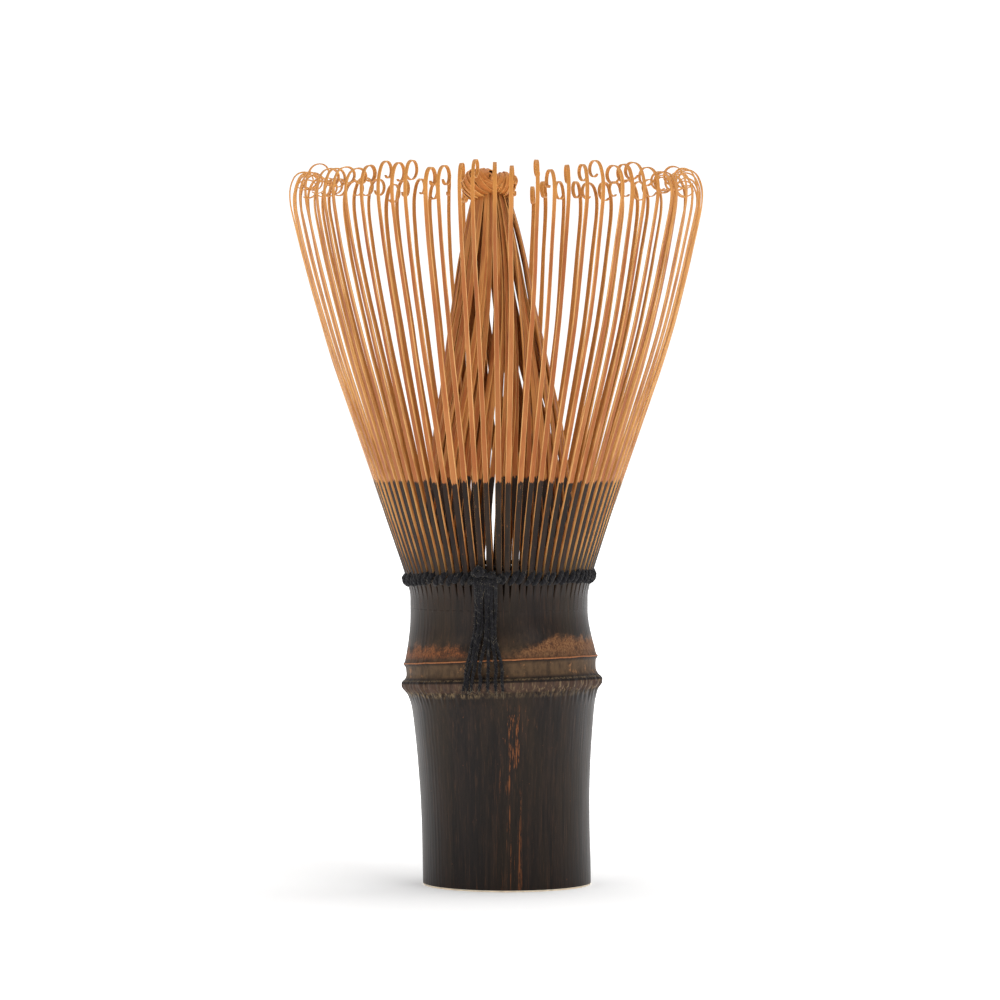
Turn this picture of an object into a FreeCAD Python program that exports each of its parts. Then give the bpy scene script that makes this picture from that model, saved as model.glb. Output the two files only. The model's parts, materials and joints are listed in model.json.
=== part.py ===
"""Bamboo tea whisk: one culm of black bamboo, split above its node into springy tines and tied with thread.

Frame: millimetres, +Z up, origin on the resting plane under the axis of the tine crown. -Y is the front, with
the knot.
The outer tines are split into sections; each section is one node and flexes about the thread line.
"""

import FreeCAD, Part

import math
import os

from FreeCAD import Matrix, Vector

# ---- driving dimensions -------------------------------------------------------------------------
TINES = 72  # outer tines, and as many inner ones between them
PER_SECTION = 4  # outer tines that were cut from one section of the culm
SECTIONS = TINES // PER_SECTION
PITCH = 360.0 / TINES

TOTAL_HEIGHT = 112.0
COLLAR_HEIGHT = 44.3  # where the culm stops and the slits between the tines begin
COLLAR_RADIUS = 13.97
ROOT_THICKNESS = 0.95  # bamboo wall left at the tine roots
FLARE_ANGLE = 18.7  # lean of the outer tines from the vertical
HINGE_HEIGHT = 48.2  # the thread line, where the outer tines flex

# the culm under the crown grew a little off the crown's axis, with its node rings at a slant
BASE_OFFSET = 1.33
NODE_SLANT = 2.1
CULM_OUTLINE = (  # (height, outside radius) from the foot to the collar
    (0.0, 13.4),
    (6.5, 13.4),
    (13.0, 13.5),
    (19.0, 13.8),
    (24.5, 14.2),
    (28.5, 14.7),
    (30.2, 15.2),
    (31.2, 15.6),
    (32.0, 15.65),
    (32.8, 15.2),
    (33.5, 14.85),
    (34.3, 14.8),
    (34.8, 15.15),
    (35.2, 15.15),
    (36.2, 14.8),
    (38.0, 14.4),
    (41.0, 14.0),
    (COLLAR_HEIGHT, COLLAR_RADIUS),
)
SMOOTH_SPANS = ((0, 6), (6, 9), (9, 11), (11, 12), (12, 13), (13, 17))  # what is lofted in one go

BORE_RADIUS = 9.8  # the natural hollow, open at the foot
BORE_DEPTH = 27.0
DIAPHRAGM_TOP = 33.0
CUP_RADIUS = 10.6  # hollow above the node, widened to the thin wall at the tine roots

# outer tine: a strip whose centreline is a chain of (length, lean at its end in degrees), + outwards
ROOT_GAP = 0.15  # clearance that lets the outer tines flex over the collar
OUTER_WIDTHS = ((COLLAR_HEIGHT - 1, 0.70), (62.0, 0.70), (TOTAL_HEIGHT + 1, 0.60))  # (height, width)
OUTER_CHAIN = (
    (0.7, 0.0),
    (1.22, 14.0),
    (5.0, FLARE_ANGLE),
    (38.8, FLARE_ANGLE),
    (14.6, 13.5),
    (6.0, 0.0),
    (7.0, -103.0),
    (7.4, -352.0),
)
STEP_TURN = 14.0  # the centreline has a point at least every so many degrees
STEP_LENGTH = 6.0  # and every so many millimetres
OUTER_THICKNESS = ((0.0, 0.90), (10.0, 0.72), (18.0, 0.50), (60.0, 0.26), (81.0, 0.15))  # along the tine

# inner tine: outside face of the inner cone, with three layers where the cone is too narrow for one
INNER_TOP = 107.0
INNER_FOOT = COLLAR_HEIGHT - 0.5  # trimmed to the collar once the cone leans
INNER_FACE = ((INNER_FOOT, 13.92), (46.2, 13.75), (50.0, 12.95), (63.0, 11.4), (84.0, 7.8), (INNER_TOP, 3.3))
INNER_THICKNESS = (0.80, 0.70, 0.50, 0.36, 0.26, 0.20)  # at each height of INNER_FACE
INNER_LAYER_STEP = (0.0, 0.0, 0.0, 0.20, 0.43, 0.62)  # how far each layer lies inside the one before
INNER_LAYERS = 3
INNER_WIDTH_ROOT = 0.28
INNER_WIDTH = 0.50
INNER_WIDTH_STEP = 0.06  # a deeper layer's tines are this much narrower
INNER_WIDENS = (48.8, 52.8)  # heights between which an inner tine gets its full width
INNER_LEAN = 1.17  # the inner cone leans a little, so its head is off the axis
LEAN_PIVOT_HEIGHT = 46.0

# head: the inner tips wound together
HEAD_NECK_RADIUS = 3.5
HEAD_RADIUS = 4.25
HEAD_HEIGHT = 5.0
HEAD_MIDDLE = 0.52  # height of the widest place, as a share of the head's
HEAD_SHOULDER = (2.9, 4.3)  # (radius, height above the neck)
HEAD_CROWN_RADIUS = 1.2

# thread
THREAD_DIAMETER = 0.55
RING_HEIGHT = 2.1
RING_EDGE_DEPTH = 0.5  # how far the ring of wraps stands out at its edges
RING_DEPTH = 0.86  # and at its middle
RING_CLEARANCE = 0.2
INNER_RING_RADIUS = 13.62
INNER_RING_SECTION = 0.42
INNER_RING_HEIGHT = 50.2
KNOT_X = -1.75
KNOT_RADIUS = 16.55
KNOT_HALF = (2.2, 1.15, 2.3)
TAIL_TOP = 46.4
TAIL_MIDDLE = 38.5
TAIL_END = 30.0
TAIL_TOP_PITCH = 0.62
TAIL_END_X = (-5.3, -4.65, -4.0, -2.8, -1.4, -0.1, 1.0)
TAIL_FAN = 0.45  # share of the fanning out that is done at TAIL_MIDDLE
TAIL_STANDOFF = 0.45  # tail centreline to the culm where it lies on it
TAIL_BRIDGE = 0.6  # extra where the tails bridge the neck
TAIL_STAGGER = 0.12  # every second tail lies this much further out
RIDGE_HEIGHT = 31.6  # fattest place of the culm, which the tails lie over


def axis_turn(shape, degrees):
    """A copy turned about the whisk's axis; 0 is the front, and positive runs towards +X."""
    turned = shape.copy()
    turned.rotate(Vector(0, 0, 0), Vector(0, 0, 1), degrees)
    return turned


def lerp(table, at):
    """Straight interpolation in a table of (position, value)."""
    for (p, v), (q, w) in zip(table, table[1:]):
        if at <= q:
            return v + (w - v) * max(0.0, at - p) / (q - p)
    return table[-1][1]


def spline(points):
    curve = Part.BSplineCurve()
    curve.interpolate(points)
    return curve.toShape()


# ---- culm ---------------------------------------------------------------------------------------
def culm_centre(z):
    return BASE_OFFSET * max(0.0, 1.0 - (z / (COLLAR_HEIGHT + 2.0)) ** 2)


def culm_slant(z):
    """Slant of the node rings, fading to nothing at the foot and at the collar."""
    rise = min(1.0, max(0.0, (z - 8.0) / 20.0))
    fall = min(1.0, max(0.0, (COLLAR_HEIGHT - z) / 7.0))
    return NODE_SLANT * rise * fall


def culm_section(z, radius):
    slant = math.radians(culm_slant(z))
    circle = Part.Circle(Vector(culm_centre(z), 0, z), Vector(-math.sin(slant), 0, math.cos(slant)), radius)
    return Part.Wire([circle.toShape()])


def make_culm():
    sections = [culm_section(z, r) for z, r in CULM_OUTLINE]
    solid = None
    for first, last in SMOOTH_SPANS:
        span = Part.makeLoft(sections[first : last + 1], True, False)
        solid = span if solid is None else solid.fuse(span)
    foot, top = culm_centre(0), culm_centre(COLLAR_HEIGHT)
    bore = Part.makeCylinder(BORE_RADIUS, BORE_DEPTH, Vector(foot, 0, 0))
    dome = Part.makeCone(BORE_RADIUS, BORE_RADIUS - 3.0, 3.0, Vector(foot, 0, BORE_DEPTH))
    cup_height = COLLAR_HEIGHT - DIAPHRAGM_TOP
    cup = Part.makeCone(CUP_RADIUS, COLLAR_RADIUS - ROOT_THICKNESS, cup_height, Vector(top, 0, DIAPHRAGM_TOP))
    return solid.cut(bore.fuse(dome)).cut(cup)


# ---- tines --------------------------------------------------------------------------------------
def outer_centreline():
    """Points (radius, height, lean, arc length) along an outer tine, from its root to the end of its curl."""
    radius = COLLAR_RADIUS - OUTER_THICKNESS[0][1] / 2
    height = COLLAR_HEIGHT + ROOT_GAP
    lean, run = 0.0, 0.0
    points = [(radius, height, lean, run)]
    for length, end_lean in OUTER_CHAIN:
        turn = math.radians(end_lean) - lean
        steps = max(2, int(abs(math.degrees(turn)) / STEP_TURN), int(length / STEP_LENGTH))
        for _ in range(steps):
            ds = length / steps
            middle = lean + turn / steps / 2
            radius += ds * math.sin(middle)
            height += ds * math.cos(middle)
            lean += turn / steps
            run += ds
            points.append((radius, height, lean, run))
    return points


def strip(outside, inside, widths):
    """A strip in the X-Z plane between two faces, which are lists of points; widths are (height, width)."""
    edges = [
        spline(outside),
        Part.LineSegment(outside[-1], inside[-1]).toShape(),
        spline(list(reversed(inside))),
        Part.LineSegment(inside[0], outside[0]).toShape(),
    ]
    profile = Part.Face(Part.Wire(edges))
    widest = max(width for _, width in widths)
    profile.translate(Vector(0, -widest, 0))
    prism = profile.extrude(Vector(0, 2 * widest, 0))
    right = [Vector(0, width / 2, height) for height, width in widths]
    left = [Vector(0, -width / 2, height) for height, width in reversed(widths)]
    front = Part.Face(Part.makePolygon(right + left + right[:1]))
    wedge = front.extrude(Vector(COLLAR_RADIUS * 3, 0, 0))
    return prism.common(wedge).Solids[0]


def make_outer_tine():
    outside, inside = [], []
    for radius, height, lean, run in outer_centreline():
        half = lerp(OUTER_THICKNESS, run) / 2
        away = Vector(math.cos(lean), 0, -math.sin(lean)) * half
        outside.append(Vector(radius, 0, height) + away)
        inside.append(Vector(radius, 0, height) - away)
    return strip(outside, inside, OUTER_WIDTHS)


def make_inner_tine(layer):
    outside, inside = [], []
    for (height, face), thickness, step in zip(INNER_FACE, INNER_THICKNESS, INNER_LAYER_STEP):
        outside.append(Vector(face - layer * step, 0, height))
        inside.append(Vector(face - layer * step - thickness, 0, height))
    full = INNER_WIDTH - INNER_WIDTH_STEP * layer
    narrow_to, full_from = INNER_WIDENS
    widths = (
        (INNER_FOOT - 1, INNER_WIDTH_ROOT),
        (narrow_to, INNER_WIDTH_ROOT),
        (full_from, full),
        (INNER_TOP + 1, full),
    )
    return strip(outside, inside, widths)


def lean_inner(shape):
    leaned = shape.copy()
    leaned.rotate(Vector(0, 0, LEAN_PIVOT_HEIGHT), Vector(0, 1, 0), -INNER_LEAN)
    return leaned


def tine_angle(index):
    """Direction of outer tine number index about the axis, from +X; tine 0 is at the front."""
    return -90.0 + PITCH * index


def outer_section(section, tine):
    first = section * PER_SECTION
    return Part.makeCompound([axis_turn(tine, tine_angle(first + k)) for k in range(PER_SECTION)])


def inner_section(section, layers):
    """The section's inner tines, leaned with the cone and trimmed to stand on the collar."""
    first = section * PER_SECTION
    below = Part.makeCylinder(COLLAR_RADIUS * 2, COLLAR_HEIGHT)
    made = []
    for index in range(first, first + PER_SECTION):
        tine = lean_inner(axis_turn(layers[index % INNER_LAYERS], tine_angle(index + 0.5)))
        made.append(tine.cut(below).Solids[0])
    return Part.makeCompound(made)


def make_head():
    neck = Vector(HEAD_NECK_RADIUS, 0, INNER_TOP)
    widest = Vector(HEAD_RADIUS, 0, INNER_TOP + HEAD_HEIGHT * HEAD_MIDDLE)
    shoulder = Vector(HEAD_SHOULDER[0], 0, INNER_TOP + HEAD_SHOULDER[1])
    crown = Vector(HEAD_CROWN_RADIUS, 0, INNER_TOP + HEAD_HEIGHT)
    top = Vector(0, 0, INNER_TOP + HEAD_HEIGHT)
    bottom = Vector(0, 0, INNER_TOP)
    outline = [
        Part.LineSegment(bottom, neck).toShape(),
        Part.Arc(neck, widest, shoulder).toShape(),
        Part.LineSegment(shoulder, crown).toShape(),
        Part.LineSegment(crown, top).toShape(),
        Part.LineSegment(top, bottom).toShape(),
    ]
    return lean_inner(Part.Face(Part.Wire(outline)).revolve(Vector(0, 0, 0), Vector(0, 0, 1), 360))


# ---- thread -------------------------------------------------------------------------------------
def tine_face_radius(z):
    """Outside face of the outer tines near the thread."""
    points = outer_centreline()
    table = [(height, radius) for radius, height, _, _ in points if height < 60.0]
    half = OUTER_THICKNESS[0][1] / 2 / math.cos(math.radians(FLARE_ANGLE))
    return lerp(table, z) + half


def make_outer_ring():
    low, high = HINGE_HEIGHT - RING_HEIGHT / 2, HINGE_HEIGHT + RING_HEIGHT / 2
    low_r, high_r = (tine_face_radius(z) + RING_CLEARANCE for z in (low, high))
    corners = [
        Vector(low_r, 0, low),
        Vector(low_r + RING_EDGE_DEPTH, 0, low),
        Vector((low_r + high_r) / 2 + RING_DEPTH, 0, HINGE_HEIGHT),
        Vector(high_r + RING_EDGE_DEPTH, 0, high),
        Vector(high_r, 0, high),
    ]
    face = Part.Face(Part.makePolygon(corners + corners[:1]))
    return face.revolve(Vector(0, 0, 0), Vector(0, 0, 1), 360)


def make_inner_ring():
    return Part.makeTorus(INNER_RING_RADIUS, INNER_RING_SECTION, Vector(0, 0, INNER_RING_HEIGHT))


def knot_centre():
    return Vector(KNOT_X, -math.sqrt(KNOT_RADIUS**2 - KNOT_X**2), HINGE_HEIGHT)


def make_knot(ring):
    ball = Part.makeSphere(1.0)
    stretch = Matrix()
    stretch.scale(Vector(*KNOT_HALF))
    ball = ball.transformGeometry(stretch)
    ball.rotate(Vector(0, 0, 0), Vector(0, 0, 1), math.degrees(math.asin(KNOT_X / KNOT_RADIUS)))
    ball.translate(knot_centre())
    return ball.cut(ring)


def culm_front(x, z):
    """The y of the culm's front face at x and height z, with room for the slant of the node rings."""
    radius = max(lerp(CULM_OUTLINE, z + dz) for dz in (-0.8, 0.0, 0.8))
    return -math.sqrt(radius**2 - (x - culm_centre(z)) ** 2)


def tube(points, diameter):
    """A tube along straight runs joined by tangent arcs as large as the runs allow."""
    edges, start = [], points[0]
    for before, corner, after in zip(points, points[1:], points[2:]):
        back, ahead = (before - corner), (after - corner)
        turn = math.pi - back.getAngle(ahead)
        setback = 0.45 * min(back.Length, ahead.Length)
        first = corner + back.normalize() * setback
        last = corner + ahead.normalize() * setback
        radius = setback / math.tan(turn / 2)
        print(f"  tail arc radius {radius:.1f} mm, {radius / diameter:.1f} diameters")
        bisector = (back + ahead).normalize()
        middle = corner + bisector * (math.hypot(radius, setback) - radius)
        edges.append(Part.LineSegment(start, first).toShape())
        edges.append(Part.Arc(first, middle, last).toShape())
        start = last
    edges.append(Part.LineSegment(start, points[-1]).toShape())
    path = Part.Wire(edges)
    heading = points[1] - points[0]
    section = Part.Wire([Part.Circle(points[0], heading, diameter / 2).toShape()])
    made = path.makePipeShell([section], True, False)
    expected = path.Length * math.pi * diameter**2 / 4
    print(f"  tail {path.Length:.2f} mm long, volume {made.Volume / expected:.4f} of section times length")
    return made


def make_tail(index):
    from_middle = index - (len(TAIL_END_X) - 1) / 2
    stagger = TAIL_STAGGER * (index % 2)
    top_x = KNOT_X + from_middle * TAIL_TOP_PITCH
    end_x = TAIL_END_X[index]
    middle_x = top_x + (end_x - top_x) * TAIL_FAN
    middle_y = culm_front(middle_x, TAIL_MIDDLE) - TAIL_STANDOFF - TAIL_BRIDGE - stagger
    end_y = culm_front(end_x, RIDGE_HEIGHT) - TAIL_STANDOFF - stagger
    route = [
        Vector(top_x, knot_centre().y + 2 * stagger, TAIL_TOP),
        Vector(middle_x, middle_y, TAIL_MIDDLE),
        Vector(end_x, end_y, TAIL_END),
    ]
    return tube(route, THREAD_DIAMETER)


def build():
    parts = {"handle": make_culm()}
    outer = make_outer_tine()
    inner = [make_inner_tine(layer) for layer in range(INNER_LAYERS)]
    for section in range(SECTIONS):
        parts[f"outer_tines_{section + 1:02d}"] = outer_section(section, outer)
        parts[f"inner_tines_{section + 1:02d}"] = inner_section(section, inner)
    parts["inner_tip_twist"] = make_head()
    parts["thread_ring_outer"] = make_outer_ring()
    parts["thread_ring_inner"] = make_inner_ring()
    parts["thread_knot"] = make_knot(parts["thread_ring_outer"])
    below_knot = parts["thread_knot"]
    for index in range(len(TAIL_END_X)):
        parts[f"thread_tail_{index + 1}"] = make_tail(index).cut(below_knot)
    return parts


def main():
    os.makedirs("parts", exist_ok=True)
    for name, shape in build().items():
        valid = shape.isValid() and all(s.isClosed() for s in shape.Shells)
        print(f"{name}: {len(shape.Solids)} solid(s), {shape.Volume:.2f} mm3, valid {valid}")
        shape.exportStep(f"parts/{name}.step")


main()
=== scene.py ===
"""Bamboo tea whisk: the finished look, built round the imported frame.

Shapes are worked out in millimetres and turned into metres when a mesh is made.
"""
import json
import math

import bpy
import numpy as np
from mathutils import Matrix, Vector


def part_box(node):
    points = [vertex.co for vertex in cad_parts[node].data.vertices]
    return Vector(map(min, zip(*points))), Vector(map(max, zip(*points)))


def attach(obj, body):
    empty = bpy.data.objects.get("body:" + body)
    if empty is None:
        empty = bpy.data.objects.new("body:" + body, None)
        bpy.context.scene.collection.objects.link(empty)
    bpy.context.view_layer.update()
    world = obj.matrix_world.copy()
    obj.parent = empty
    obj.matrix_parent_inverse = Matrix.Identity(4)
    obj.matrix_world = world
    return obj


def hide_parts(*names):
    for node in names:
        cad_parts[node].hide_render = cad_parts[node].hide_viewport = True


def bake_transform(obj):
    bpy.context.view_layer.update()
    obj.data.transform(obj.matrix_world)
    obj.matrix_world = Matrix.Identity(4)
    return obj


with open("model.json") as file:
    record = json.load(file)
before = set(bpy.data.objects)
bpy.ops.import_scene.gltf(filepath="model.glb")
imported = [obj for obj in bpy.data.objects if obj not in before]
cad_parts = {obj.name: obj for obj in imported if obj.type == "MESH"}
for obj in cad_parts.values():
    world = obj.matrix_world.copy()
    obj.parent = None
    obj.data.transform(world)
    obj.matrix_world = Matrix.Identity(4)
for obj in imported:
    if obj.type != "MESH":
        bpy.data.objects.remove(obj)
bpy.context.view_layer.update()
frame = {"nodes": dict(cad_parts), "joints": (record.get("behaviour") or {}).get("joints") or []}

MM = 0.001
SEED = 20


def box_mm(node):
    low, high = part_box(node)
    return np.array(low) / MM, np.array(high) / MM


# ---- places taken from the frame ----
SECTIONS = len(frame["joints"])
PER_SECTION = 4
TINES = SECTIONS * PER_SECTION
PITCH = 2 * math.pi / TINES
COLLAR_Z = box_mm("handle")[1][2]
THREAD_Z = sum(box_mm("thread_ring_outer"))[2] / 2
HEAD_CENTRE = sum(box_mm("inner_tip_twist")) / 2
KNOT_CENTRE = sum(box_mm("thread_knot")) / 2
TAILS = sum(1 for name in frame["nodes"] if name.startswith("thread_tail_"))

# ---- the culm ----
BASE_OFFSET = 1.6
COLLAR_OFFSET = 0.35
COLLAR_RADIUS = 13.97
WALL_TOP = COLLAR_Z - 0.7  # the wall's own end, hidden under the tine roots
WALL_TOP_RADIUS = 13.02  # inside of the wall at the tine roots
ROOT_Z = COLLAR_Z - 1.1
LOWER_RING = 31.95  # height of the lower node ring's crest
UPPER_RING = 35.30
CULM_OUTLINE = (  # (height, outside radius)
    (0.0, 13.22), (6.5, 13.2), (13.0, 13.28), (19.0, 13.55), (24.5, 13.98), (28.0, 14.36),
    (LOWER_RING - 2.2, 14.74), (LOWER_RING - 1.5, 15.0), (LOWER_RING - 1.05, 15.36),
    (LOWER_RING - 0.55, 15.66), (LOWER_RING - 0.05, 15.73), (LOWER_RING + 0.35, 15.58),
    (LOWER_RING + 0.75, 15.16), (LOWER_RING + 1.6, 14.88), (UPPER_RING - 0.65, 14.93),
    (UPPER_RING - 0.25, 15.16), (UPPER_RING, 15.26), (UPPER_RING + 0.25, 15.04),
    (UPPER_RING + 0.75, 14.92), (UPPER_RING + 1.6, 14.74), (38.6, 14.4), (41.2, 14.03), (42.8, 13.95),
    (WALL_TOP, 13.95), (COLLAR_Z, COLLAR_RADIUS),
)
CULM_CENTRE = (  # the culm leans towards +X at its foot: (height, offset of its centre)
    (0.0, BASE_OFFSET), (9.0, 1.38), (17.0, 1.18), (29.0, 0.98), (34.0, 0.62), (38.0, 0.48),
    (42.6, COLLAR_OFFSET),
)
# the node rings lean: rise per mm towards +X and towards the front, by height
SLANT_RIGHT = (
    (8.0, 0.0), (28.0, 0.022), (LOWER_RING, 0.026), (UPPER_RING, 0.043), (37.0, 0.043), (WALL_TOP, 0.0),
)
SLANT_FRONT = ((28.0, 0.0), (LOWER_RING, 0.036), (UPPER_RING, 0.045), (37.0, 0.045), (WALL_TOP, 0.0))
BORE_RADIUS = 9.8
BORE_TOP = 27.0
DIAPHRAGM = (30.0, 33.0)
CUP_RADIUS = 10.6

# ---- the tines ----
FLARE = 19.1  # how far the outer tines lean out below their bend, in degrees
OUTER_CHAIN = (  # (length, lean at its end in degrees) from the root to the end of the curl
    (1.95, 0.0), (1.22, 14.0), (5.0, FLARE), (30.0, FLARE), (7.0, 16.8), (10.0, 14.2), (9.8, 11.0),
    (2.8, 0.0), (2.6, -28.0), (2.3, -100.0), (5.9, -350.0),
)
# thickness and width by the distance from the root
OUTER_THICK = ((0.0, 0.92), (4.0, 0.85), (11.0, 0.70), (19.0, 0.50), (61.0, 0.27), (82.0, 0.14))
OUTER_WIDTH = ((4.0, 0.95), (9.0, 0.92), (20.0, 0.86), (45.0, 0.70), (60.0, 0.62), (75.0, 0.58), (86.0, 0.50))
CROWN_OFFSET = ((45.0, COLLAR_OFFSET), (58.0, 0.16), (88.0, 0.16), (100.0, -0.05))  # of the axis, by height
OUTER_SKIN_TOP = 63.3  # the dark skin is shaved off above this height
INNER_SKIN_TOP = 63.9
INNER_PATH = (  # (height, radius) of the inner cone's outside
    (43.5, 13.62), (45.0, 13.6), (46.5, 13.2), (48.5, 12.75), (52.0, 12.3), (57.0, 11.8), (63.5, 11.0),
    (73.0, 9.8), (84.5, 7.75), (90.7, 6.55), (97.5, 5.55), (101.1, 4.85), (104.8, 3.95), (108.4, 2.85),
)
# thickness and width by the height over the root, and the offset of the cone's axis by height
INNER_THICK = ((0.0, 0.7), (6.0, 0.42), (20.0, 0.34), (65.0, 0.2))
INNER_WIDTH = ((0.0, 0.34), (4.0, 0.50), (9.0, 0.80), (20.0, 0.94), (40.0, 0.90), (55.0, 0.72), (65.0, 0.54))
INNER_CENTRE = ((50.0, COLLAR_OFFSET), (57.0, 0.4), (63.5, 0.5), (73.0, 0.25), (90.7, -0.4), (108.4, -1.0))


# ---- numbers and meshes ----
def smooth(low, high, x):
    t = np.clip((np.asarray(x, float) - low) / (high - low), 0, 1)
    return t * t * (3 - 2 * t)


def lookup(table, x):
    xs, ys = zip(*table)
    return np.interp(x, xs, ys)


def unit(v):
    return v / np.maximum(np.linalg.norm(v, axis=-1, keepdims=True), 1e-9)


def rotate_z(points, angle):
    """Points turned about the vertical by an angle each."""
    c, s = np.cos(angle), np.sin(angle)
    x, y = points[:, 0], points[:, 1]
    return np.stack([x * c - y * s, x * s + y * c, points[:, 2]], 1)


def circle(count):
    """Directions evenly round a full turn."""
    return np.linspace(0, 2 * math.pi, count, endpoint=False)


def draws(number):
    """The random draws of one part of the script."""
    return np.random.default_rng(SEED + number)


def polar(radius, direction, z):
    """Points at a radius and direction from the axis."""
    x, y = radius * np.cos(direction), radius * np.sin(direction)
    return np.stack([x, y, np.broadcast_to(z, x.shape)], -1)


def wander(rng, x, waves, length):
    """A smooth random function of x of about unit size, built from a few long waves."""
    total = np.zeros_like(np.asarray(x, float))
    for k in range(1, waves + 1):
        phase, size = rng.uniform(0, 2 * math.pi), rng.normal() / k
        total += size * np.sin(2 * math.pi * k * np.asarray(x) / length + phase)
    return total


class Cloth:
    """Collects swept strips and tubes, and becomes one mesh object."""

    def __init__(self, name):
        self.name = name
        self.verts, self.faces, self.face_material = [], [], []
        self.grain, self.form, self.uncut = [], [], []
        self.count = 0

    def sweep(self, rings, grain, form=(0.0, 0.0, 0.0), uncut=None, material=0, closed=False):
        """rings is (stations, points round, 3). grain, form and uncut have a vector for each point.

        grain is a place in the wood whose last part runs along the fibres, form is (side, through, seed),
        and uncut is where the wood was in the culm.
        """
        stations, around = rings.shape[:2]
        base = self.count
        self.verts.append(rings.reshape(-1, 3))
        self.grain.append(np.broadcast_to(grain, rings.shape).reshape(-1, 3))
        self.form.append(np.broadcast_to(form, rings.shape).reshape(-1, 3))
        self.uncut.append((rings if uncut is None else uncut).reshape(-1, 3))
        self.count += stations * around
        for i in range(stations if closed else stations - 1):
            this, after = base + i * around, base + ((i + 1) % stations) * around
            for j in range(around):
                k = (j + 1) % around
                self.faces.append((this + j, this + k, after + k, after + j))
                self.face_material.append(material)
        if not closed:
            last = base + (stations - 1) * around
            self.faces.append(tuple(base + j for j in reversed(range(around))))
            self.faces.append(tuple(last + j for j in range(around)))
            self.face_material += [material, material]

    def make(self, *materials):
        mesh = bpy.data.meshes.new(self.name)
        verts = np.concatenate(self.verts) * MM
        mesh.from_pydata(verts.tolist(), [], self.faces)
        for label, values in (("grain", self.grain), ("form", self.form), ("uncut", self.uncut)):
            attribute = mesh.attributes.new(label, "FLOAT_VECTOR", "POINT")
            attribute.data.foreach_set("vector", np.concatenate(values).astype(np.float32).ravel())
        mesh.polygons.foreach_set("use_smooth", [True] * len(self.faces))
        for material in materials:
            mesh.materials.append(material)
        mesh.polygons.foreach_set("material_index", self.face_material)
        mesh.update()
        return add_object(self.name, mesh)


CORNER_TURNS = [math.radians(a) for a in (0, 45, 90)]
FACE_SUPPORT = 0.05  # keeps a broad face flat up to its rounded corners, in mm


def strip_rings(path, across, out, left, right, thick, corner):
    """Sections of a flat strip with rounded corners.

    path, across and out are (stations, 3); left, right and thick are half sizes at each station.
    Returns the rings, and for each of their points its place across and through in mm.
    """
    radius = corner * np.minimum(thick, np.minimum(left, right))
    places = []
    for quarter, (side, face) in enumerate(((1, 1), (-1, 1), (-1, -1), (1, -1))):
        half = right if side > 0 else left
        corners = []
        for angle in CORNER_TURNS:
            turn = quarter * math.pi / 2 + angle
            u = side * (half - radius) + radius * math.cos(turn)
            v = face * (thick - radius) + radius * math.sin(turn)
            corners.append(np.stack([u, v], 1))
        support = np.stack([side * (half - radius - FACE_SUPPORT), face * thick], 1)
        corners.insert(3 if side * face > 0 else 0, support)
        places += corners
    places = np.stack(places, 1)
    rings = path[:, None] + across[:, None] * places[..., :1] + out[:, None] * places[..., 1:]
    return rings, places


def add_strip(cloth, path, across, out, sizes, along, seed, uncut=None, corner=0.3):
    """A strip of bamboo. uncut, if given, turns the places across in mm into places in the culm."""
    left, right, thick = sizes
    rings, places = strip_rings(path, across, out, left, right, thick, np.broadcast_to(corner, thick.shape))
    rows = np.broadcast_to(along[:, None], places.shape[:2])
    grain = np.stack([places[..., 0] + 40 * seed, places[..., 1] + 17 * seed, rows], -1)
    side = places[..., 0] / np.where(places[..., 0] > 0, right[:, None], left[:, None])
    through = places[..., 1] / thick[:, None]
    form = np.stack([side, through, np.full_like(side, seed)], -1)
    cloth.sweep(rings, grain, form, None if uncut is None else uncut(places, rings))


def path_frame(path, across_hint):
    """Unit across and outward vectors along a path."""
    tangent = unit(np.gradient(path, axis=0))
    across = across_hint - tangent * np.sum(across_hint * tangent, 1, keepdims=True)
    across = unit(across)
    return across, np.cross(across, tangent)


def spin(across, out, angle):
    """The two side vectors turned about the path by an angle at each station."""
    c, s = np.cos(angle)[:, None], np.sin(angle)[:, None]
    return across * c + out * s, out * c - across * s


def add_object(name, data):
    made = bpy.data.objects.new(name, data)
    bpy.context.scene.collection.objects.link(made)
    return made


def settle(made, node):
    """Makes a piece part of the culm's body, in the place of a node of the frame."""
    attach(made, "culm")
    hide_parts(node)


# ---- materials ----
def srgb(red, green, blue):
    """A colour given as 0 to 255, as shader values."""
    parts = [part / 255 for part in (red, green, blue)]
    return [((c + 0.055) / 1.055) ** 2.4 if c > 0.04 else c / 12.92 for c in parts] + [1.0]


class Value:
    """A number in a shader, which can be added, subtracted and multiplied."""

    def __init__(self, shader, socket):
        self.shader, self.socket = shader, socket

    def __add__(self, other):
        return self.shader.math("ADD", self, other)

    def __sub__(self, other):
        return self.shader.math("SUBTRACT", self, other)

    def __mul__(self, other):
        return self.shader.math("MULTIPLY", self, other)


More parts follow.
